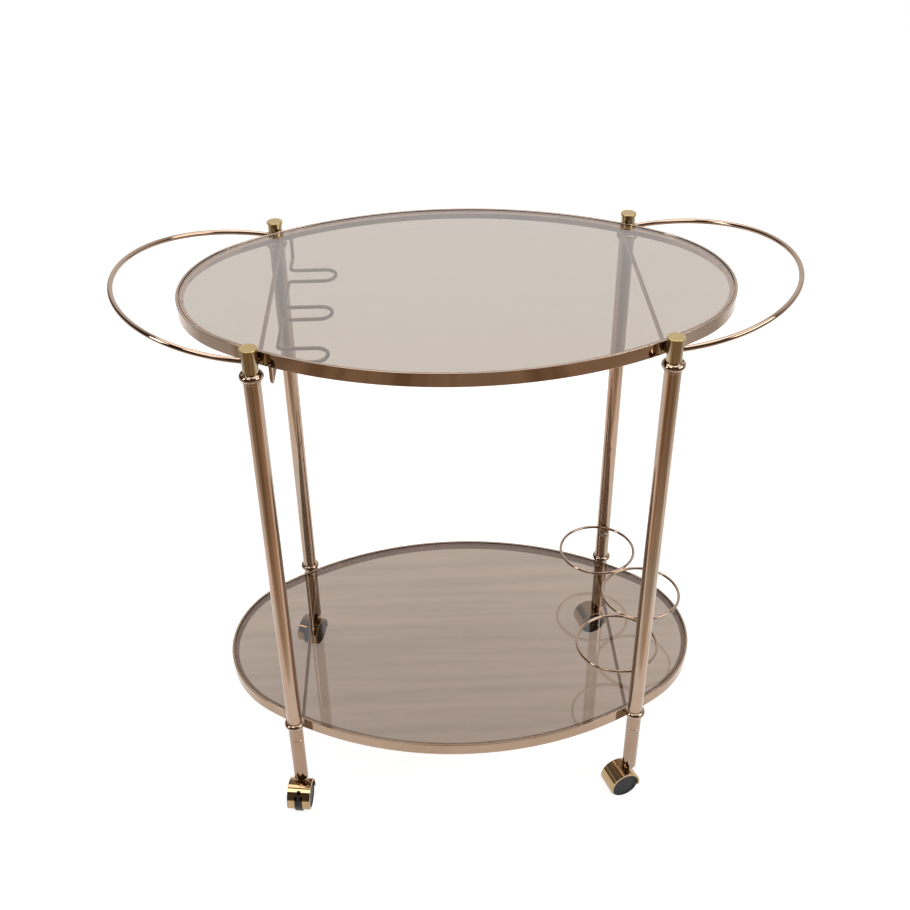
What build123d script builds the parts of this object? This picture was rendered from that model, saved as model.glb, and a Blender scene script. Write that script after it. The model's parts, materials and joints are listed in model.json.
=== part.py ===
from build123d import *
import os
from math import atan2, copysign, cos, hypot, radians, sin, sqrt

# Oval two-shelf bar cart, in millimetres.
# X runs along the cart, +Y to its rear, +Z up; the origin is on the floor, under the middle.

# Overall stance
top_shelf_height = 706.8
lower_shelf_height = 147.0
cutter_overrun = 2.0

# Shelf rims: a four-arc oval wall that stands round the glass, with a ledge inside
rim_length = 649.8
rim_depth = 416.8
rim_end_radius = 150.0
rim_height = 16.5
rim_wall = 3.0
rim_ledge_width = 6.0
rim_ledge_thickness = 2.0
rim_edge_round = 0.6

# Glass panes and the soft pads under them
glass_thickness = 5.0
glass_recess = 0.8
glass_edge_gap = 0.6
glass_edge_round = 0.7
pad_diameter = 5.0
pad_thickness = 1.0
pads_per_shelf = 8
pad_phase_share = 0.5

# Legs: head, collar, tube, collar, joint sleeve, foot
leg_end_inset = 99.9
leg_stand_off = 11.9
leg_diameter = 19.6
leg_wall = 1.5
head_diameter = 17.8
sleeve_diameter = 19.2
foot_diameter = 19.0
leg_top_rise = 6.6
upper_collar_drop = 24.6
lower_collar_rise = 1.3
seam_drop = 25.5
seam_chamfer = 0.4
foot_end_round = 1.0
spigot_length = 7.0
spigot_clearance = 0.1

# Collars
collar_diameter = 27.0
collar_bead_height = 9.0
collar_neck_diameter = 20.8
collar_neck_height = 3.0
collar_neck_round = 0.8

# Leg caps
cap_diameter = 20.2
cap_thickness = 2.6
cap_round = 0.9
cap_plug_length = 6.0

# Tie rods that clamp each leg together
rod_diameter = 6.0
rod_clearance = 0.1
web_thickness = 5.0
foot_web_setback = 9.0
rod_end_past_web = 3.0
nut_diameter = 11.0
nut_height = 5.0
nut_sides = 6
nut_cap_gap = 1.7

# Spacers brazed between the rims and the legs
spacer_diameter = 6.5

# Cross braces under the shelves
brace_diameter = 5.0
brace_inset = 9.0

# Handles
handle_diameter = 6.4
handle_root_inset = 3.0
handle_straight = 15.0
handle_tilt = 9.0
handle_root_drop = 9.2

# Stemware hanger
hanger_diameter = 4.5
hanger_drop = 33.8
hanger_line_inset = 20.0
hanger_finger_length = 57.3
hanger_slot_width = 30.5
hanger_pitch = 98.0
hanger_end_gap = 0.6
hanger_bend = 6.0
hanger_bow_flat = 0.5

# Bottle rings
ring_diameter_share = 0.6625
ring_wire = 4.0
ring_rise = 66.0
ring_column_inset = 19.0
ring_weld_overlap = 1.2
ring_tab_width = 10.0
ring_tab_thickness = 1.5
ring_tab_bite = 0.45
ring_tab_tail = 4.8
ring_tab_round = 2.0
ring_screw_drop = 13.8

# Ring screws
screw_diameter = 4.0
screw_head_diameter = 9.0
screw_head_height = 2.4
screw_head_taper = 30.0
screw_length = 8.0
screw_clearance = 0.05
screw_slot_width = 0.9
screw_slot_depth = 0.8

# Casters
wheel_diameter = 40.0
wheel_width = 8.8
wheel_edge_round = 1.2
wheel_face_thickness = 1.9
wheel_hub_diameter = 12.0
wheel_recess_depth = 0.6
wheel_recess_diameter = 33.0
wheel_gap = 0.4
wheel_bore_clearance = 0.08
axle_diameter = 5.0
axle_end_gap = 0.3
axle_fit = 0.02
frame_width = 10.0
frame_disc_diameter = 33.0
frame_bridge_start = 62.0
frame_bridge_end = 152.0
hood_wall = 1.1
hood_running_gap = 0.6
hood_lip_width = 2.6
hood_front_end = 195.0
hood_back_end = 342.0
hood_slot_start = 60.0
hood_slot_width = 5.0
hood_notch_start = 39.0
hood_notch_end = -54.0
hood_notch_gap = 0.3
hood_edge_round = 0.4
caster_trail = 11.5
wedge_reach_share = 3
wedge_steps = 4
stem_diameter = 8.0
stem_root_diameter = 6.6
stem_root_depth = 16.0
stem_neck_length = 4.6
stem_rise = 33.0
stem_clearance = 0.08
stem_fit = 0.02
stem_tip_round = 0.8
collar_flange_diameter = 12.6
collar_flange_height = 2.2
swivel_gap = 0.3
socket_length = 36.0
socket_fit = 0.02

# Brake levers of the two braked casters, each turning on the axle between the wheels
lever_reach = 22.4
lever_disc_gap = 0.4
lever_paddle_start = -42.0
lever_paddle_end = 24.0
lever_neck_end = 44.0
lever_neck_width = 4.4
lever_web_start = -14.0
lever_web_width = 2.4
lever_eye_diameter = 9.0
lever_slot_start = -26.0
lever_slot_end = 48.0
lever_side_gap = 0.3
lever_bore_clearance = 0.08
braked_corners = ("fl", "rl")

# Resting headings: the way each wheel pair trails, turned from +X towards +Y
caster_headings = {"fl": 263.0, "fr": 200.0, "rl": 247.0, "rr": 195.0}

# Places that follow from the sizes
rim_a = rim_length / 2
rim_b = rim_depth / 2
rim_end_centre = rim_a - rim_end_radius
rim_side_radius = (rim_end_centre**2 + rim_b**2 - rim_end_radius**2) / (2 * (rim_b - rim_end_radius))
rim_side_centre = rim_side_radius - rim_b
leg_x = rim_a - leg_end_inset
leg_y = sqrt((rim_side_radius + leg_stand_off) ** 2 - leg_x**2) - rim_side_centre
corners = {"fl": (-leg_x, -leg_y), "fr": (leg_x, -leg_y), "rl": (-leg_x, leg_y), "rr": (leg_x, leg_y)}
ledge_drop = glass_recess + glass_thickness + pad_thickness
ledge_bottom_drop = ledge_drop + rim_ledge_thickness
leg_top_height = top_shelf_height + leg_top_rise
upper_collar_height = top_shelf_height - upper_collar_drop
lower_collar_height = lower_shelf_height + lower_collar_rise
seam_height = lower_shelf_height - seam_drop
leg_bore = leg_diameter - 2 * leg_wall
head_bore = head_diameter - 2 * leg_wall
foot_bore = foot_diameter - 2 * leg_wall
rod_bore = rod_diameter + 2 * rod_clearance
collar_half = collar_bead_height / 2
head_web_top = leg_top_height - cap_plug_length - nut_cap_gap - nut_height
handle_root_height = top_shelf_height - handle_root_drop
handle_bow_radius = leg_y - handle_root_inset
handle_reach = handle_bow_radius + handle_straight
hanger_line_x = leg_x - hanger_line_inset
hanger_tip_x = hanger_line_x - hanger_finger_length
ring_diameter = ring_diameter_share * leg_y
ring_column_x = leg_x - ring_column_inset
ring_height = lower_shelf_height + ring_rise
wheel_radius = wheel_diameter / 2
hood_bore = wheel_radius + hood_running_gap
hood_radius = hood_bore + hood_wall
wheel_inner_face = frame_width / 2 + wheel_gap
wheel_outer_face = wheel_inner_face + wheel_width
hood_half_width = wheel_outer_face + wheel_gap + hood_wall
stem_root_top = wheel_radius + sqrt(hood_bore**2 - caster_trail**2)
foot_end_height = stem_root_top + stem_neck_length + collar_flange_height + swivel_gap
shelves = {"upper": top_shelf_height, "lower": lower_shelf_height}


def save(solid, name):
    """Label one finished piece and write it as its own STEP file."""
    solid.label = name
    export_step(solid, "parts/" + name + ".step")


def oval_edges(inset):
    """Edges of the rim's four-arc oval, moved inwards from its outer face."""
    turn = atan2(rim_side_centre, rim_end_centre)
    end_radius = rim_end_radius - inset
    x = rim_end_centre + end_radius * cos(turn)
    y = end_radius * sin(turn)
    a = rim_a - inset
    b = rim_b - inset
    with BuildLine() as outline:
        ThreePointArc((x, y), (0, b), (-x, y))
        ThreePointArc((-x, y), (-a, 0), (-x, -y))
        ThreePointArc((-x, -y), (0, -b), (x, -y))
        ThreePointArc((x, -y), (a, 0), (x, y))
    return outline.edges()


def nearest_on_rim(x, y):
    """Point of the rim's outer face nearest to a place outside it."""
    out = hypot(abs(x), abs(y) + rim_side_centre)
    if abs(x) * rim_side_centre < rim_end_centre * (abs(y) + rim_side_centre):
        part = rim_side_radius / out
        near = (abs(x) * part, (abs(y) + rim_side_centre) * part - rim_side_centre)
    else:
        part = rim_end_radius / hypot(abs(x) - rim_end_centre, y)
        near = (rim_end_centre + (abs(x) - rim_end_centre) * part, abs(y) * part)
    return copysign(near[0], x), copysign(near[1], y)


def inner_wall_y(x):
    """Half depth of the space inside the rim's wall, at a place along its sides."""
    return sqrt((rim_side_radius - rim_wall) ** 2 - x**2) - rim_side_centre


def make_rim(top):
    """Oval rim: an upright wall with a ledge inside that carries the glass."""
    with BuildPart() as rim:
        with BuildSketch(Plane.XY.offset(top - rim_height)):
            make_face(oval_edges(0))
            make_face(oval_edges(rim_wall), mode=Mode.SUBTRACT)
        extrude(amount=rim_height)
        fillet(rim.faces().sort_by(Axis.Z)[-1].edges(), rim_edge_round)
        fillet(rim.faces().sort_by(Axis.Z)[0].edges(), rim_edge_round)
        with BuildSketch(Plane.XY.offset(top - ledge_bottom_drop)):
            make_face(oval_edges(rim_wall))
            make_face(oval_edges(rim_wall + rim_ledge_width), mode=Mode.SUBTRACT)
        extrude(amount=rim_ledge_thickness)
    return rim.part


def make_glass(top):
    """Oval pane that drops into the rim."""
    with BuildPart() as glass:
        with BuildSketch(Plane.XY.offset(top - glass_recess - glass_thickness)):
            make_face(oval_edges(rim_wall + glass_edge_gap))
        extrude(amount=glass_thickness)
        fillet(glass.faces().sort_by(Axis.Z)[-1].edges(), glass_edge_round)
        fillet(glass.faces().sort_by(Axis.Z)[0].edges(), glass_edge_round)
    return glass.part


def make_glass_pads():
    """Clear soft pads between each ledge and its pane."""
    ledge_middle = Wire(oval_edges(rim_wall + rim_ledge_width / 2))
    with BuildPart() as pads:
        for top in shelves.values():
            with BuildSketch(Plane.XY.offset(top - ledge_drop)):
                for n in range(pads_per_shelf):
                    spot = ledge_middle @ ((n + pad_phase_share) / pads_per_shelf)
                    with Locations((spot.X, spot.Y)):
                        Circle(pad_diameter / 2)
            extrude(amount=pad_thickness)
    return pads.part


def make_spacers(top, leg_size):
    """Short bosses brazed between the rim wall and the four legs."""
    height = top - rim_height + (rim_height - ledge_bottom_drop) / 2
    with BuildPart() as spacers:
        for x, y in corners.values():
            ox, oy = nearest_on_rim(x, y)
            with BuildSketch(Plane(origin=(x, y, height), z_dir=(ox - x, oy - y, 0))):
                Circle(spacer_diameter / 2)
            extrude(amount=hypot(ox - x, oy - y) + cutter_overrun)
        with BuildSketch(Plane.XY.offset(top - rim_height - cutter_overrun)):
            for x, y in corners.values():
                with Locations((x, y)):
                    Circle(leg_size / 2)
            make_face(oval_edges(0))
        extrude(amount=rim_height + 2 * cutter_overrun, mode=Mode.SUBTRACT)
    return spacers.part


def make_brace(x, top):
    """Round bar across a rim, from its front wall to its rear wall, under the ledge."""
    height = top - ledge_bottom_drop - brace_diameter / 2
    with BuildPart() as brace:
        with BuildSketch(Plane.XZ.offset(-rim_b)):
            with Locations((x, height)):
                Circle(brace_diameter / 2)
        extrude(amount=rim_depth)
        with BuildSketch(Plane.XY.offset(height - brace_diameter)):
            make_face(oval_edges(rim_wall))
        extrude(amount=2 * brace_diameter, mode=Mode.INTERSECT)
    return brace.part


def make_leg_tube(screw_side):
    """Main tube of a leg, between its two collars; screw_side is 0, or the side of a ring screw."""
    bottom = lower_collar_height + collar_half
    top = upper_collar_height - collar_half - collar_neck_height
    with BuildPart() as tube:
        with BuildSketch(Plane.XY.offset(bottom)):
            Circle(leg_diameter / 2)
            Circle(leg_bore / 2, mode=Mode.SUBTRACT)
        extrude(amount=top - bottom)
        if screw_side:
            with BuildSketch(Plane.XZ):
                with Locations((0, ring_height - ring_screw_drop)):
                    Circle(screw_diameter / 2 + screw_clearance)
            extrude(amount=-screw_side * leg_diameter, mode=Mode.SUBTRACT)
    return tube.part


def make_leg_head():
    """Top section of a leg, with the web inside that the tie rod's nut pulls on."""
    bottom = upper_collar_height + collar_half
    with BuildPart() as head:
        with BuildSketch(Plane.XY.offset(bottom)):
            Circle(head_diameter / 2)
            Circle(head_bore / 2, mode=Mode.SUBTRACT)
        extrude(amount=leg_top_height - bottom)
        with BuildSketch(Plane.XY.offset(head_web_top - web_thickness)):
            Circle(head_bore / 2)
            Circle(rod_bore / 2, mode=Mode.SUBTRACT)
        extrude(amount=web_thickness)
    return head.part


def make_cap():
    """Flat cap with a rounded edge and a plug that pushes into the head."""
    with BuildPart() as cap:
        with BuildSketch(Plane.XY.offset(leg_top_height)):
            Circle(cap_diameter / 2)
        extrude(amount=cap_thickness)
        fillet(cap.edges().sort_by(Axis.Z)[-1], cap_round)
        with BuildSketch(Plane.XY.offset(leg_top_height - cap_plug_length)):
            Circle(head_bore / 2 - spigot_clearance)
        extrude(amount=cap_plug_length)
    return cap.part


def make_collar(height, neck, bore_above, bore_below):
    """Turned collar: a full bead, a neck under it, and a spigot into the tube on each side."""
    crown = collar_diameter / 2 - collar_half
    top = height + collar_half
    bottom = height - collar_half
    foot = bottom - neck
    with BuildPart() as collar:
        with BuildSketch(Plane.XZ):
            with BuildLine():
                Polyline((rod_bore / 2, bottom), (rod_bore / 2, top), (crown, top))
                ThreePointArc((crown, top), (collar_diameter / 2, height), (crown, bottom))
                Line((crown, bottom), (rod_bore / 2, bottom))
            make_face()
        revolve(axis=Axis.Z)
        if neck:
            with BuildSketch(Plane.XY.offset(foot)):
                Circle(collar_neck_diameter / 2)
                Circle(rod_bore / 2, mode=Mode.SUBTRACT)
            extrude(amount=neck)
            lowest = collar.edges().filter_by(GeomType.CIRCLE).group_by(Axis.Z)[0]
            fillet(lowest.sort_by(SortBy.RADIUS)[-1], collar_neck_round)
        with BuildSketch(Plane.XY.offset(top)):
            Circle(bore_above / 2 - spigot_clearance)
            Circle(rod_bore / 2, mode=Mode.SUBTRACT)
        extrude(amount=spigot_length)
        if bore_below:
            with BuildSketch(Plane.XY.offset(foot - spigot_length)):
                Circle(bore_below / 2 - spigot_clearance)
                Circle(rod_bore / 2, mode=Mode.SUBTRACT)
            extrude(amount=spigot_length)
    return collar.part


def make_lower_collars():
    """The four lower collars, each cut back where its bead meets the lower rim."""
    with BuildPart() as collars:
        add(group(make_collar(lower_collar_height, 0, leg_bore, 0), at_corner))
        with BuildSketch(Plane.XY.offset(lower_shelf_height - rim_height)):
            make_face(oval_edges(0))
        extrude(amount=rim_height, mode=Mode.SUBTRACT)
    return collars.part


def make_sleeve():
    """Joint section under the lower collar, which carries the lower rim."""
    top = lower_collar_height - collar_half
    with BuildPart() as sleeve:
        with BuildSketch(Plane.XY.offset(seam_height)):
            Circle(sleeve_diameter / 2)
            Circle(rod_bore / 2, mode=Mode.SUBTRACT)
        extrude(amount=top - seam_height)
        chamfer(sleeve.edges().group_by(Axis.Z)[0].sort_by(SortBy.RADIUS)[-1], seam_chamfer)
        with BuildSketch(Plane.XY.offset(seam_height - spigot_length)):
            Circle(foot_bore / 2 - spigot_clearance)
            Circle(rod_bore / 2, mode=Mode.SUBTRACT)
        extrude(amount=spigot_length)
    return sleeve.part


def make_foot():
    """Foot tube, with the web inside that the tie rod screws into."""
    web_top = seam_height - foot_web_setback
    with BuildPart() as foot:
        with BuildSketch(Plane.XY.offset(foot_end_height)):
            Circle(foot_diameter / 2)
        extrude(amount=seam_height - foot_end_height)
        fillet(foot.edges().sort_by(Axis.Z)[0], foot_end_round)
        chamfer(foot.edges().sort_by(Axis.Z)[-1], seam_chamfer)
        with BuildSketch(Plane.XY.offset(web_top)):
            Circle(foot_bore / 2)
        extrude(amount=foot_web_setback, mode=Mode.SUBTRACT)
        with BuildSketch(Plane.XY.offset(foot_end_height)):
            Circle(foot_bore / 2)
        extrude(amount=web_top - web_thickness - foot_end_height, mode=Mode.SUBTRACT)
        with BuildSketch(Plane.XY.offset(web_top - web_thickness)):
            Circle(rod_bore / 2)
        extrude(amount=web_thickness, mode=Mode.SUBTRACT)
    return foot.part


def make_tie_rod():
    """Rod through one leg, from the web in its foot to past the nut in its head."""
    bottom = seam_height - foot_web_setback - web_thickness - rod_end_past_web
    top = head_web_top + nut_height
    with BuildPart() as rod:
        with BuildSketch(Plane.XY.offset(bottom)):
            Circle(rod_diameter / 2)
        extrude(amount=top - bottom)
    return rod.part


def make_nut():
    """Hexagon nut on the head's web."""
    with BuildPart() as nut:
        with BuildSketch(Plane.XY.offset(head_web_top)):
            RegularPolygon(nut_diameter / 2, nut_sides)
            Circle(rod_bore / 2, mode=Mode.SUBTRACT)
        extrude(amount=nut_height)
    return nut.part


def make_handle(side):
    """Half-round hoop from the rear leg to the front leg, rising outwards; side is -1 or 1."""
    tilt = radians(handle_tilt)
    hoop = Plane(
        origin=(side * leg_x, 0, handle_root_height),
        x_dir=(side * cos(tilt), 0, sin(tilt)),
        z_dir=(-side * sin(tilt), 0, cos(tilt)),
    )
    with BuildPart() as handle:
        with BuildLine(hoop):
            Line((0, handle_bow_radius), (handle_straight, handle_bow_radius))
            ThreePointArc(
                (handle_straight, handle_bow_radius),
                (handle_reach, 0),
                (handle_straight, -handle_bow_radius),
            )
            Line((handle_straight, -handle_bow_radius), (0, -handle_bow_radius))
        start = hoop.from_local_coords((0, handle_bow_radius, 0))
        with BuildSketch(Plane(origin=start, z_dir=hoop.x_dir)):
            Circle(handle_diameter / 2)
        sweep()
        with BuildSketch(Plane.XY.offset(upper_collar_height)):
            for y in (-leg_y, leg_y):
                with Locations((side * leg_x, y)):
                    Circle(head_diameter / 2)
                with Locations((side * (leg_x - head_diameter / 2), y)):
                    Rectangle(head_diameter, head_diameter)
        extrude(amount=leg_top_height - upper_collar_height, mode=Mode.SUBTRACT)
    return handle.part


def make_hanger(n):
    """Third of the bent wire under the top shelf, with one long slot; n is 1, 0 or -1."""
    root = top_shelf_height - ledge_bottom_drop
    level = root - hanger_drop + hanger_diameter / 2
    end_y = inner_wall_y(hanger_line_x) - hanger_end_gap - hanger_diameter / 2
    half = hanger_slot_width / 2
    bow = half - hanger_bow_flat / 2
    middle = n * hanger_pitch
    points = [
        (-hanger_line_x, middle + hanger_pitch / 2, level),
        (-hanger_line_x, middle + half, level),
        (-hanger_tip_x, middle + half, level),
        (-hanger_tip_x, middle - half, level),
        (-hanger_line_x, middle - half, level),
        (-hanger_line_x, middle - hanger_pitch / 2, level),
    ]
    bends = [hanger_bend, bow, bow, hanger_bend]
    if n > 0:
        points[:1] = [(-hanger_line_x, end_y, root), (-hanger_line_x, end_y, level)]
        bends = [hanger_bend] + bends
    if n < 0:
        points[-1:] = [(-hanger_line_x, -end_y, level), (-hanger_line_x, -end_y, root)]
        bends = bends + [hanger_bend]
    with BuildPart() as hanger:
        with BuildLine():
            FilletPolyline(*points, radius=bends)
        with BuildSketch(Plane(origin=points[0], z_dir=Vector(*points[1]) - Vector(*points[0]))):
            Circle(hanger_diameter / 2)
        sweep()
    return hanger.part


def ring_places():
    """Centres of the rear, end and front bottle rings."""
    outer = ring_diameter / 2 + ring_wire / 2
    tab_face = leg_y - leg_diameter / 2 - ring_tab_thickness
    across = leg_x - ring_column_x
    y = tab_face + ring_tab_bite - sqrt(outer**2 - across**2)
    spacing = ring_diameter + ring_wire - ring_weld_overlap
    return [(ring_column_x, y), (ring_column_x + sqrt(spacing**2 - y**2), 0), (ring_column_x, -y)]


def make_bottle_rings():
    """Three wire rings welded side by side, with a tab at each leg."""
    tab_top = ring_height + ring_wire / 2
    tab_bottom = ring_height - ring_screw_drop - ring_tab_tail
    with BuildPart() as rings:
        with Locations(*[(x, y, ring_height) for x, y in ring_places()]):
            Torus(ring_diameter / 2, ring_wire / 2)
        for side in (-1, 1):
            face = side * (leg_y - leg_diameter / 2)
            with BuildSketch(Plane.XZ.offset(-face)):
                with Locations((leg_x, (tab_top + tab_bottom) / 2)):
                    RectangleRounded(ring_tab_width, tab_top - tab_bottom, ring_tab_round)
                with Locations((leg_x, ring_height - ring_screw_drop)):
                    Circle(screw_diameter / 2 + screw_clearance, mode=Mode.SUBTRACT)
            extrude(amount=side * ring_tab_thickness)
    return rings.part


def make_ring_screws():
    """Round-headed screws that hold the ring tabs to the right-hand legs."""
    with BuildPart() as screws:
        for side in (-1, 1):
            seat = side * (leg_y - leg_diameter / 2 - ring_tab_thickness)
            plane = Plane(
                origin=(leg_x, seat, ring_height - ring_screw_drop), x_dir=(1, 0, 0), z_dir=(0, -side, 0)
            )
            with BuildSketch(plane):
                Circle(screw_head_diameter / 2)
            extrude(amount=screw_head_height, taper=screw_head_taper)
            with BuildSketch(plane):
                Circle(screw_diameter / 2)
            extrude(amount=-screw_length)
            with BuildSketch(plane.offset(screw_head_height - screw_slot_depth)):
                Rectangle(screw_head_diameter, screw_slot_width)
            extrude(amount=screw_slot_depth, mode=Mode.SUBTRACT)
    return screws.part


def wedge(start, end):
    """Wide wedge in the sketch, from its middle, between two angles."""
    reach = wedge_reach_share * hood_radius
    spread = [start + (end - start) * n / wedge_steps for n in range(wedge_steps + 1)]
    far = [(reach * cos(radians(a)), reach * sin(radians(a))) for a in spread]
    return Polygon((0, 0), *far, align=None, mode=Mode.PRIVATE)


def make_hood(braked):
    """Drum-shaped hood over the two wheels, open below; a braked one has a slot and a notch behind."""
    axle_plane = Plane(origin=(caster_trail, 0, wheel_radius), x_dir=(1, 0, 0), z_dir=(0, -1, 0))
    lip_bore = hood_radius - hood_lip_width
    with BuildPart() as hood:
        with BuildSketch(axle_plane):
            Circle(hood_radius)
        extrude(amount=hood_half_width, both=True)
        fillet(hood.edges().filter_by(GeomType.CIRCLE), hood_edge_round)
        with BuildSketch(axle_plane):
            Circle(hood_bore)
        extrude(amount=hood_half_width - hood_wall, both=True, mode=Mode.SUBTRACT)
        with BuildSketch(axle_plane):
            Circle(lip_bore)
            add(wedge(hood_front_end, hood_back_end))
        extrude(amount=hood_half_width + cutter_overrun, both=True, mode=Mode.SUBTRACT)
        if braked:
            with BuildSketch(axle_plane):
                add(wedge(0, hood_slot_start))
            extrude(amount=hood_slot_width / 2, both=True, mode=Mode.SUBTRACT)
            with BuildSketch(axle_plane):
                add(wedge(hood_notch_end, hood_notch_start))
            extrude(amount=frame_width / 2 + hood_notch_gap, both=True, mode=Mode.SUBTRACT)
        with BuildSketch(Plane.XY.offset(wheel_radius)):
            Circle(stem_diameter / 2 + stem_clearance)
        extrude(amount=hood_radius, mode=Mode.SUBTRACT)
    return hood.part


def make_frame(braked):
    """Plate between the wheels that carries the axle, the stem and the hood, slotted for a brake lever."""
    axle_plane = Plane(origin=(caster_trail, 0, wheel_radius), x_dir=(1, 0, 0), z_dir=(0, -1, 0))
    with BuildPart() as frame:
        with BuildSketch(axle_plane) as outline:
            Circle(hood_bore)
            Circle(frame_disc_diameter / 2, mode=Mode.SUBTRACT)
            add(wedge(frame_bridge_start, frame_bridge_end), mode=Mode.INTERSECT)
            Circle(frame_disc_diameter / 2)
        extrude(amount=frame_width / 2, both=True)
        if braked:
            with BuildSketch(axle_plane):
                Circle(hood_bore)
                add(wedge(lever_slot_start, lever_slot_end), mode=Mode.INTERSECT)
                Circle(lever_eye_diameter / 2 + lever_side_gap)
            extrude(amount=lever_web_width / 2 + lever_side_gap, both=True, mode=Mode.SUBTRACT)
        with BuildSketch(axle_plane):
            Circle(axle_diameter / 2 + axle_fit)
        extrude(amount=frame_width, both=True, mode=Mode.SUBTRACT)
        with BuildSketch(Plane.XY.offset(stem_root_top - stem_root_depth)):
            Circle(stem_root_diameter / 2 + stem_fit)
        extrude(amount=hood_radius, mode=Mode.SUBTRACT)
    return frame.part


def make_lever():
    """Brake lever: an eye on the axle, a web in the frame's slot, a wide paddle and a narrow neck."""
    axle_plane = Plane(origin=(caster_trail, 0, wheel_radius), x_dir=(1, 0, 0), z_dir=(0, -1, 0))
    rail = frame_disc_diameter / 2 + lever_disc_gap
    with BuildPart() as lever:
        with BuildSketch(axle_plane):
            Circle(lever_reach)
            add(wedge(lever_web_start, lever_paddle_end), mode=Mode.INTERSECT)
            Circle(lever_eye_diameter / 2)
        extrude(amount=lever_web_width / 2, both=True)
        with BuildSketch(axle_plane):
            Circle(lever_reach)
            Circle(rail, mode=Mode.SUBTRACT)
            add(wedge(lever_paddle_start, lever_paddle_end), mode=Mode.INTERSECT)
        extrude(amount=frame_width / 2, both=True)
        with BuildSketch(axle_plane):
            Circle(hood_radius)
            Circle(rail, mode=Mode.SUBTRACT)
            add(wedge(0, lever_neck_end), mode=Mode.INTERSECT)
        extrude(amount=lever_neck_width / 2, both=True)
        with BuildSketch(axle_plane):
            Circle(axle_diameter / 2 + lever_bore_clearance)
        extrude(amount=frame_width, both=True, mode=Mode.SUBTRACT)
    return lever.part


def make_stem():
    """Stem with a flange under the leg, on the swivel axis."""
    flange_top = foot_end_height - swivel_gap
    flange_bottom = flange_top - collar_flange_height
    with BuildPart() as stem:
        with BuildSketch(Plane.XY.offset(stem_root_top - stem_root_depth + stem_fit)):
            Circle(stem_root_diameter / 2)
        extrude(amount=stem_root_depth)
        with BuildSketch(Plane.XY.offset(flange_bottom - (flange_bottom - stem_root_top) / 2)):
            Circle(stem_diameter / 2)
        extrude(amount=(flange_bottom - stem_root_top) / 2 + collar_flange_height + stem_rise)
        with BuildSketch(Plane.XY.offset(stem_root_top)):
            Circle(stem_root_diameter / 2)
        extrude(amount=flange_bottom - stem_root_top)
        with BuildSketch(Plane.XY.offset(flange_bottom)):
            Circle(collar_flange_diameter / 2)
        extrude(amount=collar_flange_height)
        fillet(stem.faces().sort_by(Axis.Z)[-1].edges(), stem_tip_round)
    return stem.part


def make_socket():
    """Socket pressed into the foot, in which the stem turns."""
    with BuildPart() as socket:
        with BuildSketch(Plane.XY.offset(foot_end_height)):
            Circle(foot_bore / 2 - socket_fit)
            Circle(stem_diameter / 2 + stem_clearance, mode=Mode.SUBTRACT)
        extrude(amount=socket_length)
    return socket.part


def make_axle():
    """Pin through the frame, hidden inside the two wheels."""
    half = wheel_outer_face - wheel_face_thickness - axle_end_gap
    with BuildPart() as axle:
        with BuildSketch(Plane(origin=(caster_trail, 0, wheel_radius), z_dir=(0, 1, 0))):
            Circle(axle_diameter / 2)
        extrude(amount=half, both=True)
    return axle.part


def make_wheel(side):
    """Wheel with a plain outer face, a shallow dish and a blind bore; side is -1 or 1."""
    inner = Plane(
        origin=(caster_trail, side * wheel_inner_face, wheel_radius), x_dir=(1, 0, 0), z_dir=(0, side, 0)
    )
    with BuildPart() as wheel:
        with BuildSketch(inner):
            Circle(wheel_radius)
        extrude(amount=wheel_width)
        fillet(wheel.edges().filter_by(GeomType.CIRCLE), wheel_edge_round)
        with BuildSketch(inner.offset(wheel_width - wheel_recess_depth)):
            Circle(wheel_recess_diameter / 2)
        extrude(amount=wheel_recess_depth, mode=Mode.SUBTRACT)
        with BuildSketch(inner):
            Circle(wheel_recess_diameter / 2)
            Circle(wheel_hub_diameter / 2, mode=Mode.SUBTRACT)
        extrude(amount=wheel_width - 2 * wheel_face_thickness, mode=Mode.SUBTRACT)
        with BuildSketch(inner):
            Circle(axle_diameter / 2 + wheel_bore_clearance)
        extrude(amount=wheel_width - wheel_face_thickness, mode=Mode.SUBTRACT)
    return wheel.part


def at_corner(solid, key):
    """Copy of a leg piece, standing at one corner."""
    return solid.moved(Location((*corners[key], 0)))


def in_heading(solid, key):
    """Copy of a caster piece, turned to its heading at one corner."""
    return solid.moved(Location((*corners[key], 0), (0, 0, caster_headings[key])))


def group(solid, place):
    """Four copies of a piece, one at each corner, as one group."""
    return Compound(children=[place(solid, key) for key in corners])


os.makedirs("parts", exist_ok=True)

save(make_rim(top_shelf_height), "top_rim")
save(make_rim(lower_shelf_height), "lower_rim")
save(make_glass(top_shelf_height), "top_glass")
save(make_glass(lower_shelf_height), "lower_glass")
save(make_glass_pads(), "glass_pads")
save(make_spacers(top_shelf_height, head_diameter), "upper_rim_spacers")
save(make_spacers(lower_shelf_height, sleeve_diameter), "lower_rim_spacers")
for shelf, top in shelves.items():
    for side_name, side in (("left", -1), ("right", 1)):
        save(make_brace(side * (leg_x - brace_inset), top), shelf + "_brace_" + side_name)
save(make_handle(-1), "handle_left")
save(make_handle(1), "handle_right")
for third, n in (("rear", 1), ("middle", 0), ("front", -1)):
    save(make_hanger(n), "glass_hanger_" + third)
save(make_bottle_rings(), "bottle_rings")
save(make_ring_screws(), "ring_screws")

upper_collar = make_collar(upper_collar_height, collar_neck_height, head_bore, leg_bore)
save(group(upper_collar, at_corner), "upper_collars")
save(make_lower_collars(), "lower_collars")
save(group(make_cap(), at_corner), "leg_caps")
save(group(make_leg_head(), at_corner), "leg_heads")
save(group(make_sleeve(), at_corner), "joint_sleeves")
save(group(make_tie_rod(), at_corner), "tie_rods")
save(group(make_nut(), at_corner), "tie_rod_nuts")
save(group(make_socket(), at_corner), "caster_sockets")

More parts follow.
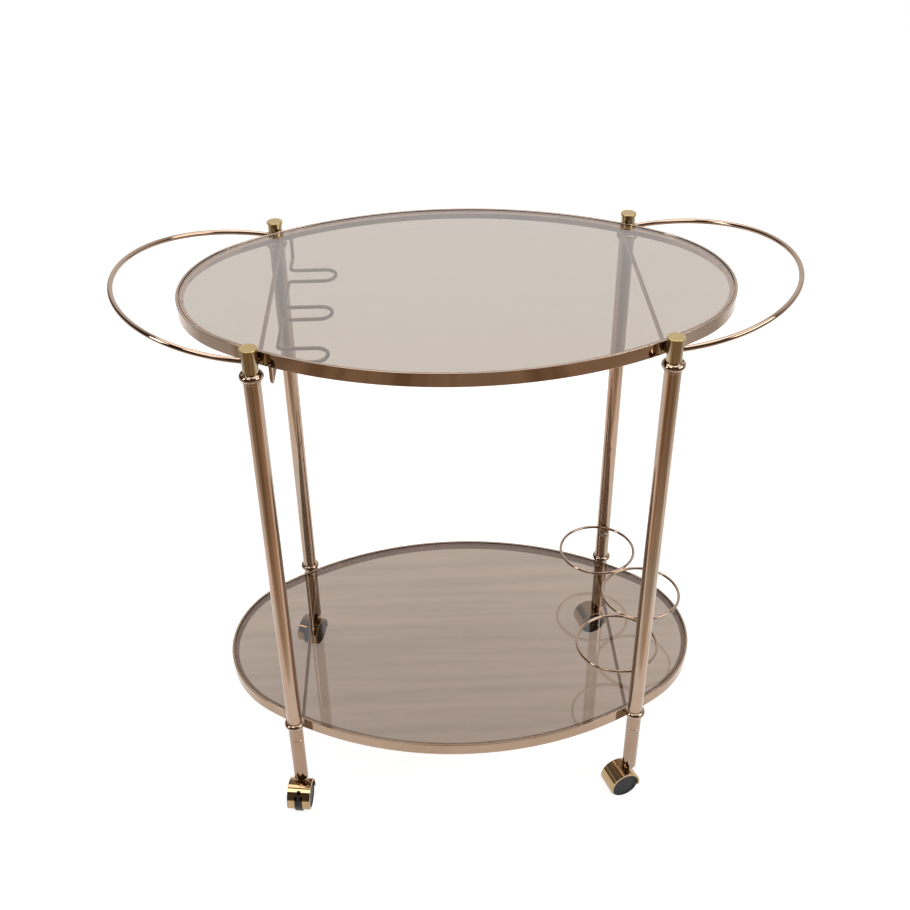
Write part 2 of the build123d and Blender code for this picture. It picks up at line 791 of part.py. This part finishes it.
screw_sides = {"fl": 0, "fr": 1, "rl": 0, "rr": -1}
for key in corners:
    save(at_corner(make_leg_tube(screw_sides[key]), key), "leg_tube_" + key)
    save(at_corner(make_foot(), key), "foot_tube_" + key)
    save(in_heading(make_hood(key in braked_corners), key), "caster_hood_" + key)
    save(in_heading(make_frame(key in braked_corners), key), "caster_frame_" + key)
    save(in_heading(make_stem(), key), "caster_stem_" + key)
    save(in_heading(make_axle(), key), "caster_axle_" + key)
    save(in_heading(make_wheel(-1), key), "wheel_a_" + key)
    save(in_heading(make_wheel(1), key), "wheel_b_" + key)
for key in braked_corners:
    save(in_heading(make_lever(), key), "brake_lever_" + key)
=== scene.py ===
import json
import math

import bpy
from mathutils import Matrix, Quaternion, Vector


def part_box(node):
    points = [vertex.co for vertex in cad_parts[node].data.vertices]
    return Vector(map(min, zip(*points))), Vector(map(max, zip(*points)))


# Oval bar cart in rosy polished brass with tinted glass shelves, on a plain pale studio floor.
# Metres, in the part's own frame: X along the cart, +Y to its rear, +Z up, floor at 0.
# The solids give every shape; this script adds materials, a floor, lamps, a world and the camera.

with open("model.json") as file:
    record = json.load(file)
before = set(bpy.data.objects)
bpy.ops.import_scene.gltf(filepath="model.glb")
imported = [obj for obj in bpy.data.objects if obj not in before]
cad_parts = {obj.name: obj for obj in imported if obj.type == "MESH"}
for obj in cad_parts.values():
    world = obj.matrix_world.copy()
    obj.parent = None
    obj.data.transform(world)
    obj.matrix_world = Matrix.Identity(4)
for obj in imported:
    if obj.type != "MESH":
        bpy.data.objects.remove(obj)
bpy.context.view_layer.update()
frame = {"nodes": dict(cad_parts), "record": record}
nodes = frame["nodes"]


# ---------------------------------------------------------------- camera

CAMERA_PLACE = (-0.0437, -1.24238, 1.33209)
CAMERA_TURN = 0.03124
CAMERA_DIP = 0.612138
CAMERA_ROLL = 0.011234
SENSOR_WIDTH = 36.0
LENS = 46.831


def add_camera():
    """Camera at the photograph's place, turn, dip and roll."""
    data = bpy.data.cameras.new("photo_camera")
    data.sensor_width = SENSOR_WIDTH
    data.lens = LENS
    camera = bpy.data.objects.new("photo_camera", data)
    bpy.context.scene.collection.objects.link(camera)
    look = Vector((
        math.sin(CAMERA_TURN) * math.cos(CAMERA_DIP),
        math.cos(CAMERA_TURN) * math.cos(CAMERA_DIP),
        -math.sin(CAMERA_DIP),
    ))
    camera.location = CAMERA_PLACE
    camera.rotation_mode = "QUATERNION"
    camera.rotation_quaternion = look.to_track_quat("-Z", "Y") @ Quaternion((0, 0, 1), -CAMERA_ROLL)
    bpy.context.scene.camera = camera


# ---------------------------------------------------------------- node helpers

class Recipe:
    """A node tree with a few helpers, so that each recipe reads as a list of steps."""

    def __init__(self, tree):
        self.tree = tree

    def node(self, kind, **settings):
        made = self.tree.nodes.new(kind)
        for key, value in settings.items():
            setattr(made, key, value)
        return made

    def feed(self, socket, value):
        """Give a socket a number, a colour or a link from another node's output."""
        if isinstance(value, (float, int)):
            socket.default_value = value
        elif isinstance(value, tuple):
            socket.default_value = (*value, 1.0)
        else:
            self.tree.links.new(value, socket)

    def fed(self, kind, *values, **settings):
        """First output of a new node whose sockets take these values in order."""
        made = self.node(kind, **settings)
        for socket, value in zip(made.inputs, values):
            self.feed(socket, value)
        return made.outputs[0]

    def math(self, operation, *values, clamp=False):
        return self.fed("ShaderNodeMath", *values, operation=operation, use_clamp=clamp)

    def axis(self, vector, name):
        split = self.node("ShaderNodeSeparateXYZ")
        self.feed(split.inputs[0], vector)
        return split.outputs[name]

    def spread(self, value, low, high, start=0.3, end=0.7):
        """Map start..end to low..high; the defaults are the usual range of a noise."""
        made = self.node("ShaderNodeMapRange")
        for key, number in (("From Min", start), ("From Max", end), ("To Min", low), ("To Max", high)):
            made.inputs[key].default_value = number
        self.feed(made.inputs["Value"], value)
        return made.outputs["Result"]

    def ramp(self, value, *stops):
        """Colour ramp through (position, colour) stops."""
        made = self.node("ShaderNodeValToRGB")
        elements = made.color_ramp.elements
        while len(elements) < len(stops):
            elements.new(0.5)
        for element, (position, colour) in zip(elements, stops):
            element.position = position
            element.color = (*colour, 1.0)
        self.feed(made.inputs["Fac"], value)
        return made.outputs["Color"]

    def graded(self, value, start, end, *stops):
        """Colour ramp over start..end, with the stops' positions in the value's own unit."""
        share = self.spread(value, 0.0, 1.0, start, end)
        return self.ramp(share, *[((place - start) / (end - start), colour) for place, colour in stops])

    def blend(self, factor, one, two, mode="MIX"):
        made = self.node("ShaderNodeMix", data_type="RGBA", blend_type=mode)
        for key, value in (("Factor", factor), ("A", one), ("B", two)):
            self.feed(made.inputs[key], value)
        return made.outputs["Result"]

    def multiply(self, one, two):
        return self.blend(1.0, one, two, "MULTIPLY")


class Shader(Recipe):
    """A material on a principled surface, in the object's own coordinates."""

    def __init__(self, name):
        self.material = bpy.data.materials.new(name)
        self.material.use_nodes = True
        super().__init__(self.material.node_tree)
        self.surface = self.tree.nodes["Principled BSDF"]
        self.place = self.node("ShaderNodeTexCoord").outputs["Object"]

    def set(self, **values):
        """Values or links on the surface's own sockets."""
        for key, value in values.items():
            self.feed(self.surface.inputs[key.replace("_", " ")], value)

    def stretched(self, scale):
        """Object coordinates with their own scale along each axis."""
        mapping = self.node("ShaderNodeMapping")
        mapping.inputs["Scale"].default_value = scale
        self.feed(mapping.inputs["Vector"], self.place)
        return mapping.outputs["Vector"]

    def noise(self, scale, detail=4.0, roughness=0.55, where=None):
        made = self.node("ShaderNodeTexNoise")
        made.inputs["Scale"].default_value = scale
        made.inputs["Detail"].default_value = detail
        made.inputs["Roughness"].default_value = roughness
        self.feed(made.inputs["Vector"], where or self.place)
        return made.outputs["Fac"]

    def bump(self, height, strength, distance):
        made = self.node("ShaderNodeBump")
        made.inputs["Strength"].default_value = strength
        made.inputs["Distance"].default_value = distance
        self.feed(made.inputs["Height"], height)
        self.set(Normal=made.outputs["Normal"])

    def show(self, shader):
        """Use this shader as the material's surface."""
        self.feed(self.tree.nodes["Material Output"].inputs["Surface"], shader)


# ---------------------------------------------------------------- materials

TARNISH_CLOUDS = 9.0
TARNISH_EDGE, CLEAN_EDGE = 0.30, 0.62
SPECKS = 220.0
SPECK_TARNISH = 0.16
SPECK_START, SPECK_END = 0.58, 0.75
POLISHING_LINES = 30.0
UPRIGHT_LINES = (40, 40, 2)
EVEN_LINES = (30, 30, 30)
LACQUER_WAVES = 24.0
LACQUER_STRENGTH = 0.25
LACQUER_WAVE = 0.00006
MIRROR = (0.03, 0.09)
# Upright olive and rose bands on the leg and foot tubes: painted reflection stripes.
HUE_BANDS = (130.0, 130.0, 3.5)
HUE_START, HUE_END = 0.4, 0.6
REFLECTION_STRIPE_HUES = ((0.96, 1.05, 1.08), (1.05, 0.93, 0.86))


def polished_metal(name, colour, tarnish, rough, streak=UPRIGHT_LINES, hues=None):
    """Lacquered polished metal: tarnish clouds and specks, fine polishing lines and uneven lacquer.

    rough is the lowest and highest roughness. With hues, upright bands lean to olive or to rose: painted
    reflection stripes along the tubes.
    """
    made = Shader(name)
    clouds = made.noise(TARNISH_CLOUDS, detail=5.0)
    specks = made.noise(SPECKS, detail=3.0, roughness=0.7)
    tone = made.ramp(clouds, (TARNISH_EDGE, tarnish), (CLEAN_EDGE, colour))
    # Painted reflection: upright olive and rose stripes, like the stripes a tube's reflections give.
    if hues:
        bands = made.noise(1.0, detail=2.0, where=made.stretched(HUE_BANDS))
        olive, rosy = [made.multiply(tone, hue) for hue in hues]
        tone = made.blend(made.spread(bands, 0.0, 1.0, HUE_START, HUE_END), olive, rosy)
    speckled = made.spread(specks, 0.0, SPECK_TARNISH, SPECK_START, SPECK_END)
    lines = made.noise(POLISHING_LINES, detail=6.0, roughness=0.7, where=made.stretched(streak))
    made.set(Base_Color=made.blend(speckled, tone, tarnish),
             Roughness=made.spread(lines, *rough),
             Metallic=1.0)
    made.bump(made.noise(LACQUER_WAVES, detail=2.0), LACQUER_STRENGTH, LACQUER_WAVE)
    return made


FACES_UP = 0.9
RIM_TOP_BAND = 0.002
LEDGE_DUST = 90.0
LEDGE_SHADE = 0.85
LEDGE_ROUGH = 0.6


def rim_with_painted_ledge_light(name, colour, tarnish, ledge_light_tone):
    """Rosy brass for a rim; the ledge that the glass covers has a pale matt tone with dust, painted light for
    the glass edge's bright band.
    """
    made = polished_metal(name, colour, tarnish, MIRROR)
    normal = made.node("ShaderNodeNewGeometry").outputs["Normal"]
    height = made.axis(made.place, "Z")
    faces_up = made.math("GREATER_THAN", made.axis(normal, "Z"), FACES_UP)
    tops = []
    for node in ("top_rim", "lower_rim"):
        tops.append(made.math("COMPARE", height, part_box(node)[1][2], RIM_TOP_BAND))
    covered = made.math("SUBTRACT", faces_up, made.math("MAXIMUM", *tops), clamp=True)
    whole_rim = made.node("ShaderNodeTexCoord").outputs["Generated"]
    dust = made.noise(LEDGE_DUST, detail=2.0, roughness=0.5, where=whole_rim)
    shaded = tuple(LEDGE_SHADE * channel for channel in ledge_light_tone)
    # Painted light: the covered ledge is pale and matt, so the glass edge shows a light band.
    satin_painted_light = made.node("ShaderNodeBsdfPrincipled")
    made.feed(satin_painted_light.inputs["Base Color"], made.ramp(dust, (0.0, shaded), (1.0, ledge_light_tone)))
    made.feed(satin_painted_light.inputs["Roughness"], LEDGE_ROUGH)
    made.show(made.fed("ShaderNodeMixShader", covered, made.surface.outputs[0], satin_painted_light.outputs[0]))
    return made


SMEARS = 5.0
SMEAR_STRETCH = (0.4, 1.6, 1.0)
SMEAR_START, SMEAR_END = 0.35, 0.75
SMEAR_LEAST = 0.3
WIPES = 7.0
WIPE_STRETCH = (0.35, 7.0, 1.0)
WIPE_EDGE, CLEAR_EDGE = 0.35, 0.65
GLASS_IOR = 1.5
COAT_IOR = 1.55
COAT_ROUGH = 0.004


def tinted_glass(name, tint, rough, streaks, coat):
    """Tinted float glass with a glossy face and faint wipe streaks.

    Shadow rays go straight through, and take the root of the tint at each of the pane's two faces.
    """
    made = Shader(name)
    smears = made.noise(SMEARS, detail=6.0, roughness=0.6, where=made.stretched(SMEAR_STRETCH))
    wipes = made.noise(WIPES, detail=5.0, roughness=0.65, where=made.stretched(WIPE_STRETCH))
    wiped = tuple((1.0 - streaks) * channel for channel in tint)
    made.set(Base_Color=made.ramp(wipes, (WIPE_EDGE, wiped), (CLEAR_EDGE, tint)),
             Roughness=made.spread(smears, rough * SMEAR_LEAST, rough, SMEAR_START, SMEAR_END),
             IOR=GLASS_IOR, Transmission_Weight=1.0,
             Coat_Weight=coat, Coat_IOR=COAT_IOR, Coat_Roughness=COAT_ROUGH)
    shadow_ray = made.node("ShaderNodeLightPath").outputs["Is Shadow Ray"]
    through = made.fed("ShaderNodeBsdfTransparent", tuple(math.sqrt(channel) for channel in tint))
    made.show(made.fed("ShaderNodeMixShader", shadow_ray, made.surface.outputs[0], through))
    return made


PLASTIC_DUST = 60.0
DUST_EDGE, WORN_EDGE = 0.42, 0.72
PLASTIC_SCUFFS = 150.0
SMOOTHER, ROUGHER = 0.08, 0.12
PLASTIC_GRAIN = 1400.0
GRAIN_STRENGTH = 0.35
GRAIN_DEPTH = 0.00004
PLASTIC_GLOSS = 0.22


def moulded_plastic(name, colour, worn, rough):
    """Moulded plastic with a fine grain, dust in the grain and scuffs."""
    made = Shader(name)
    dust = made.noise(PLASTIC_DUST, detail=6.0, roughness=0.65)
    scuffs = made.noise(PLASTIC_SCUFFS, detail=4.0)
    made.set(Base_Color=made.ramp(dust, (DUST_EDGE, colour), (WORN_EDGE, worn)),
             Roughness=made.spread(scuffs, rough - SMOOTHER, rough + ROUGHER),
             Specular_IOR_Level=PLASTIC_GLOSS)
    made.bump(made.noise(PLASTIC_GRAIN, detail=2.0), GRAIN_STRENGTH, GRAIN_DEPTH)
    return made


ROSE, ROSE_TARNISH = (0.405, 0.305, 0.236), (0.345, 0.248, 0.182)
# Pale tone of the ledge under the glass: painted light for the glass edge's bright band.
LEDGE_PAINTED_LIGHT = (0.95, 0.72, 0.56)

# Finishes by the record's material slots.
SLOT_FINISH = {
    "polished_brass": polished_metal("rosy_brass", ROSE, ROSE_TARNISH, MIRROR),
    "head_brass": polished_metal("head_brass", (0.41, 0.335, 0.215), (0.35, 0.27, 0.16), (0.05, 0.13)),
    "hood_brass": polished_metal("hood_brass", (0.47, 0.335, 0.185), (0.35, 0.235, 0.12), (0.03, 0.08)),
    "gold_cap": polished_metal("gold_cap", (0.46, 0.345, 0.16), (0.39, 0.275, 0.11), (0.22, 0.36),
                               streak=EVEN_LINES),
    "bronze_glass": tinted_glass("bronze_glass", (0.43, 0.37, 0.315), rough=0.012, streaks=0.02, coat=0.8),
    "clear_pad": moulded_plastic("clear_pad", (0.62, 0.60, 0.56), (0.52, 0.49, 0.45), rough=0.30),
    "nickel_screw": polished_metal("nickel_screw", (0.80, 0.77, 0.72), (0.62, 0.58, 0.52), (0.08, 0.20)),
    "steel": polished_metal("plated_steel", (0.36, 0.33, 0.30), (0.24, 0.21, 0.18), (0.18, 0.35)),
    "dark_plastic": moulded_plastic("dark_plastic", (0.020, 0.020, 0.021), (0.045, 0.043, 0.042), rough=0.36),
    "wheel_plastic": moulded_plastic("wheel_plastic", (0.022, 0.023, 0.024), (0.042, 0.041, 0.041),
                                     rough=0.46),
}

# Finishes of nodes whose tone differs a little from their slot's; the darker and lighter copies are painted
# shade and painted light.
# The lower pane's darker tint is painted shade for the shadowed floor under the cart.
LOWER_GLASS = tinted_glass("bronze_glass_lower", (0.335, 0.262, 0.212), rough=0.02, streaks=0.15, coat=0.5)
RIM_BRASS = rim_with_painted_ledge_light("rim_brass", ROSE, ROSE_TARNISH, LEDGE_PAINTED_LIGHT)
# The lower rim's darker brass is painted shade from the shelf above it.
LOWER_RIM_BRASS = rim_with_painted_ledge_light("lower_rim_brass", (0.37, 0.266, 0.19), (0.315, 0.216, 0.148), LEDGE_PAINTED_LIGHT)
LEG_BRASS = polished_metal("leg_brass", (0.40, 0.302, 0.234), (0.34, 0.245, 0.18), MIRROR, hues=REFLECTION_STRIPE_HUES)
# Feet and joint sleeves: a darker copy of the leg brass, painted shade below the lower shelf.
FOOT_BRASS = polished_metal("foot_brass", (0.34, 0.25, 0.188), (0.288, 0.204, 0.148), MIRROR,
                            hues=REFLECTION_STRIPE_HUES)
# Braces: a rougher brass with a paler tone; the paler tone is painted light.
SATIN_BRASS_PAINTED_LIGHT = polished_metal("satin_brass", (0.66, 0.50, 0.39), (0.55, 0.40, 0.30), (0.30, 0.42))

NODE_FINISH = {
    "lower_glass": LOWER_GLASS,
    "top_rim": RIM_BRASS,
    "lower_rim": LOWER_RIM_BRASS,
    "joint_sleeves": FOOT_BRASS,
}
for corner in ("fl", "fr", "rl", "rr"):
    NODE_FINISH["leg_tube_" + corner] = LEG_BRASS
    NODE_FINISH["foot_tube_" + corner] = FOOT_BRASS
for brace in ("upper_brace_left", "upper_brace_right", "lower_brace_left", "lower_brace_right"):
    NODE_FINISH[brace] = SATIN_BRASS_PAINTED_LIGHT


def dress_nodes():
    """Give each CAD node its own finish, or else the one of its slot in the record."""
    for part in frame["record"]["subparts"]:
        finish = NODE_FINISH.get(part["node"], SLOT_FINISH[part["material_slot"]])
        for slot in nodes[part["node"]].material_slots:
            slot.material = finish.material


# ---------------------------------------------------------------- floor

FLOOR_SIZE = 16.0
# White near the cart, fading to brown towards the viewer: a painted falloff of the light pool.
FLOOR_TONES = (
    (-1.30, (0.335, 0.243, 0.158)),
    (-0.95, (0.38, 0.265, 0.18)),
    (-0.69, (0.52, 0.40, 0.305)),
    (-0.47, (0.62, 0.535, 0.44)),
    (-0.41, (0.72, 0.66, 0.58)),
    (-0.38, (1.0, 1.0, 1.0)),
)
FLOOR_ALBEDO = (0.36, 0.36, 0.36)
FLOOR_LIFT = 0.86
FLOOR_ROUGH = 0.9
FLOOR_GLOSS = 0.1
# Darker sides in front: painted falloff of the light pool.
SIDE_TONE = (0.56, 0.55, 0.54)
SIDE_WIDTH = (0.85, 1.5)
SIDE_DEPTH = (0.25, 0.95)
BOARDS = (3.1, 0.45, 1.0)
BOARD_TONES = ((0.40, (0.60, 0.53, 0.485)), (0.56, (1.0, 0.99, 0.99)))
BOARD_DEPTH = (-0.62, -0.42)


def add_floor():
    """Plain pale paper that lifts to white where it is seen.

    On the viewer's side, below the camera's view, it fades to brown boards, which the metal reflects; the
    fade from white and the darker sides in front are a painted falloff of the light pool.
    """
    bpy.ops.mesh.primitive_plane_add(size=FLOOR_SIZE, location=(0, 0, 0))
    floor = bpy.context.object
    floor.name = "studio_floor"
    made = Shader("studio_paper")
    position = made.node("ShaderNodeNewGeometry").outputs["Position"]
    across, depth = made.axis(position, "X"), made.axis(position, "Y")

    # Painted light pool: the tone fades from white to brown and darkens at the sides in front.
    tone = made.graded(depth, FLOOR_TONES[0][0], FLOOR_TONES[-1][0], *FLOOR_TONES)
    aside = made.spread(made.math("ABSOLUTE", across), 0.0, 1.0, *SIDE_WIDTH)
    in_front = made.spread(depth, 1.0, 0.0, *SIDE_DEPTH)
    tone = made.blend(made.math("MULTIPLY", aside, in_front), tone, made.multiply(tone, SIDE_TONE))
    boards = made.ramp(made.noise(1.0, detail=3.0, where=made.stretched(BOARDS)), *BOARD_TONES)
    viewer_side = made.spread(depth, 1.0, 0.0, *BOARD_DEPTH)
    tone = made.blend(viewer_side, tone, made.multiply(tone, boards))
    made.set(Base_Color=made.multiply(tone, FLOOR_ALBEDO), Roughness=FLOOR_ROUGH,
             Specular_IOR_Level=FLOOR_GLOSS)

    path = made.node("ShaderNodeLightPath")
    seen = made.math("MAXIMUM", path.outputs["Is Camera Ray"], path.outputs["Is Glossy Ray"])
    seen = made.math("MAXIMUM", seen, path.outputs["Is Transmission Ray"])
    glow = made.fed("ShaderNodeEmission", tone, made.math("MULTIPLY", seen, FLOOR_LIFT))
    made.show(made.fed("ShaderNodeAddShader", made.surface.outputs[0], glow))
    floor.data.materials.append(made.material)


# ---------------------------------------------------------------- world and lamps

WORLD_STRENGTH = 1.1
WORLD_AROUND = ((-0.6, (0.10, 0.085, 0.072)), (-0.12, (0.20, 0.18, 0.165)),
                (0.12, (0.80, 0.78, 0.76)), (0.4, (1.0, 1.0, 1.0)))
WORLD_UP = ((0.0, (0.85, 0.84, 0.83)), (0.35, (1.0, 1.0, 1.0)),
            (0.72, (0.95, 0.95, 0.95)), (0.86, (0.32, 0.29, 0.27)))
WORLD_SIDEWAYS = ((-0.75, (0.12, 0.075, 0.045)), (-0.40, (1.0, 1.0, 1.0)),
                  (0.6, (1.0, 1.0, 1.0)), (0.85, (0.62, 0.57, 0.52)))
LAMP_TINT = (1.0, 0.98, 0.95)
# Name, place, aim, width and height, watts.
LAMPS = (
    ("overhead", (0.2, 0.3, 2.7), (0, 0, 0.3), (2.6, 1.8), 40.0),
    ("left_strip", (-2.2, -0.9, 1.7), (0, 0, 0.4), (0.45, 1.6), 16.0),
    ("right_window", (2.2, -1.1, 1.9), (0, 0, 0.4), (1.7, 1.1), 34.0),
    ("front_box", (-0.9, -1.2, 2.9), (0, 0, 0.3), (1.0, 1.1), 14.0),
)


def add_world():
    """Pale studio: a bright wall behind the cart, a darker room on the viewer's side, a dim ceiling."""
    world = bpy.data.worlds.new("studio")
    world.use_nodes = True
    made = Recipe(world.node_tree)
    background = made.tree.nodes["Background"]
    toward = made.node("ShaderNodeTexCoord").outputs["Generated"]
    around = made.graded(made.axis(toward, "Y"), -1.0, 1.0, *WORLD_AROUND)
    up = made.graded(made.axis(toward, "Z"), 0.0, 1.0, *WORLD_UP)
    sideways = made.graded(made.axis(toward, "X"), -1.0, 1.0, *WORLD_SIDEWAYS)
    made.feed(background.inputs["Color"], made.multiply(made.multiply(around, up), sideways))
    made.feed(background.inputs["Strength"], WORLD_STRENGTH)
    bpy.context.scene.world = world


def add_lamp(name, place, aim, size, power):
    """Rectangular softbox aimed at a point."""
    data = bpy.data.lights.new(name, "AREA")
    data.shape = "RECTANGLE"
    data.size, data.size_y = size
    data.energy = power
    data.color = LAMP_TINT
    lamp = bpy.data.objects.new(name, data)
    lamp.location = place
    lamp.rotation_mode = "QUATERNION"
    lamp.rotation_quaternion = (Vector(aim) - Vector(place)).to_track_quat("-Z", "Y")
    bpy.context.scene.collection.objects.link(lamp)


add_camera()
dress_nodes()
add_floor()
add_world()
for lamp_facts in LAMPS:
    add_lamp(*lamp_facts)
bpy.context.scene.view_settings.view_transform = "Standard"
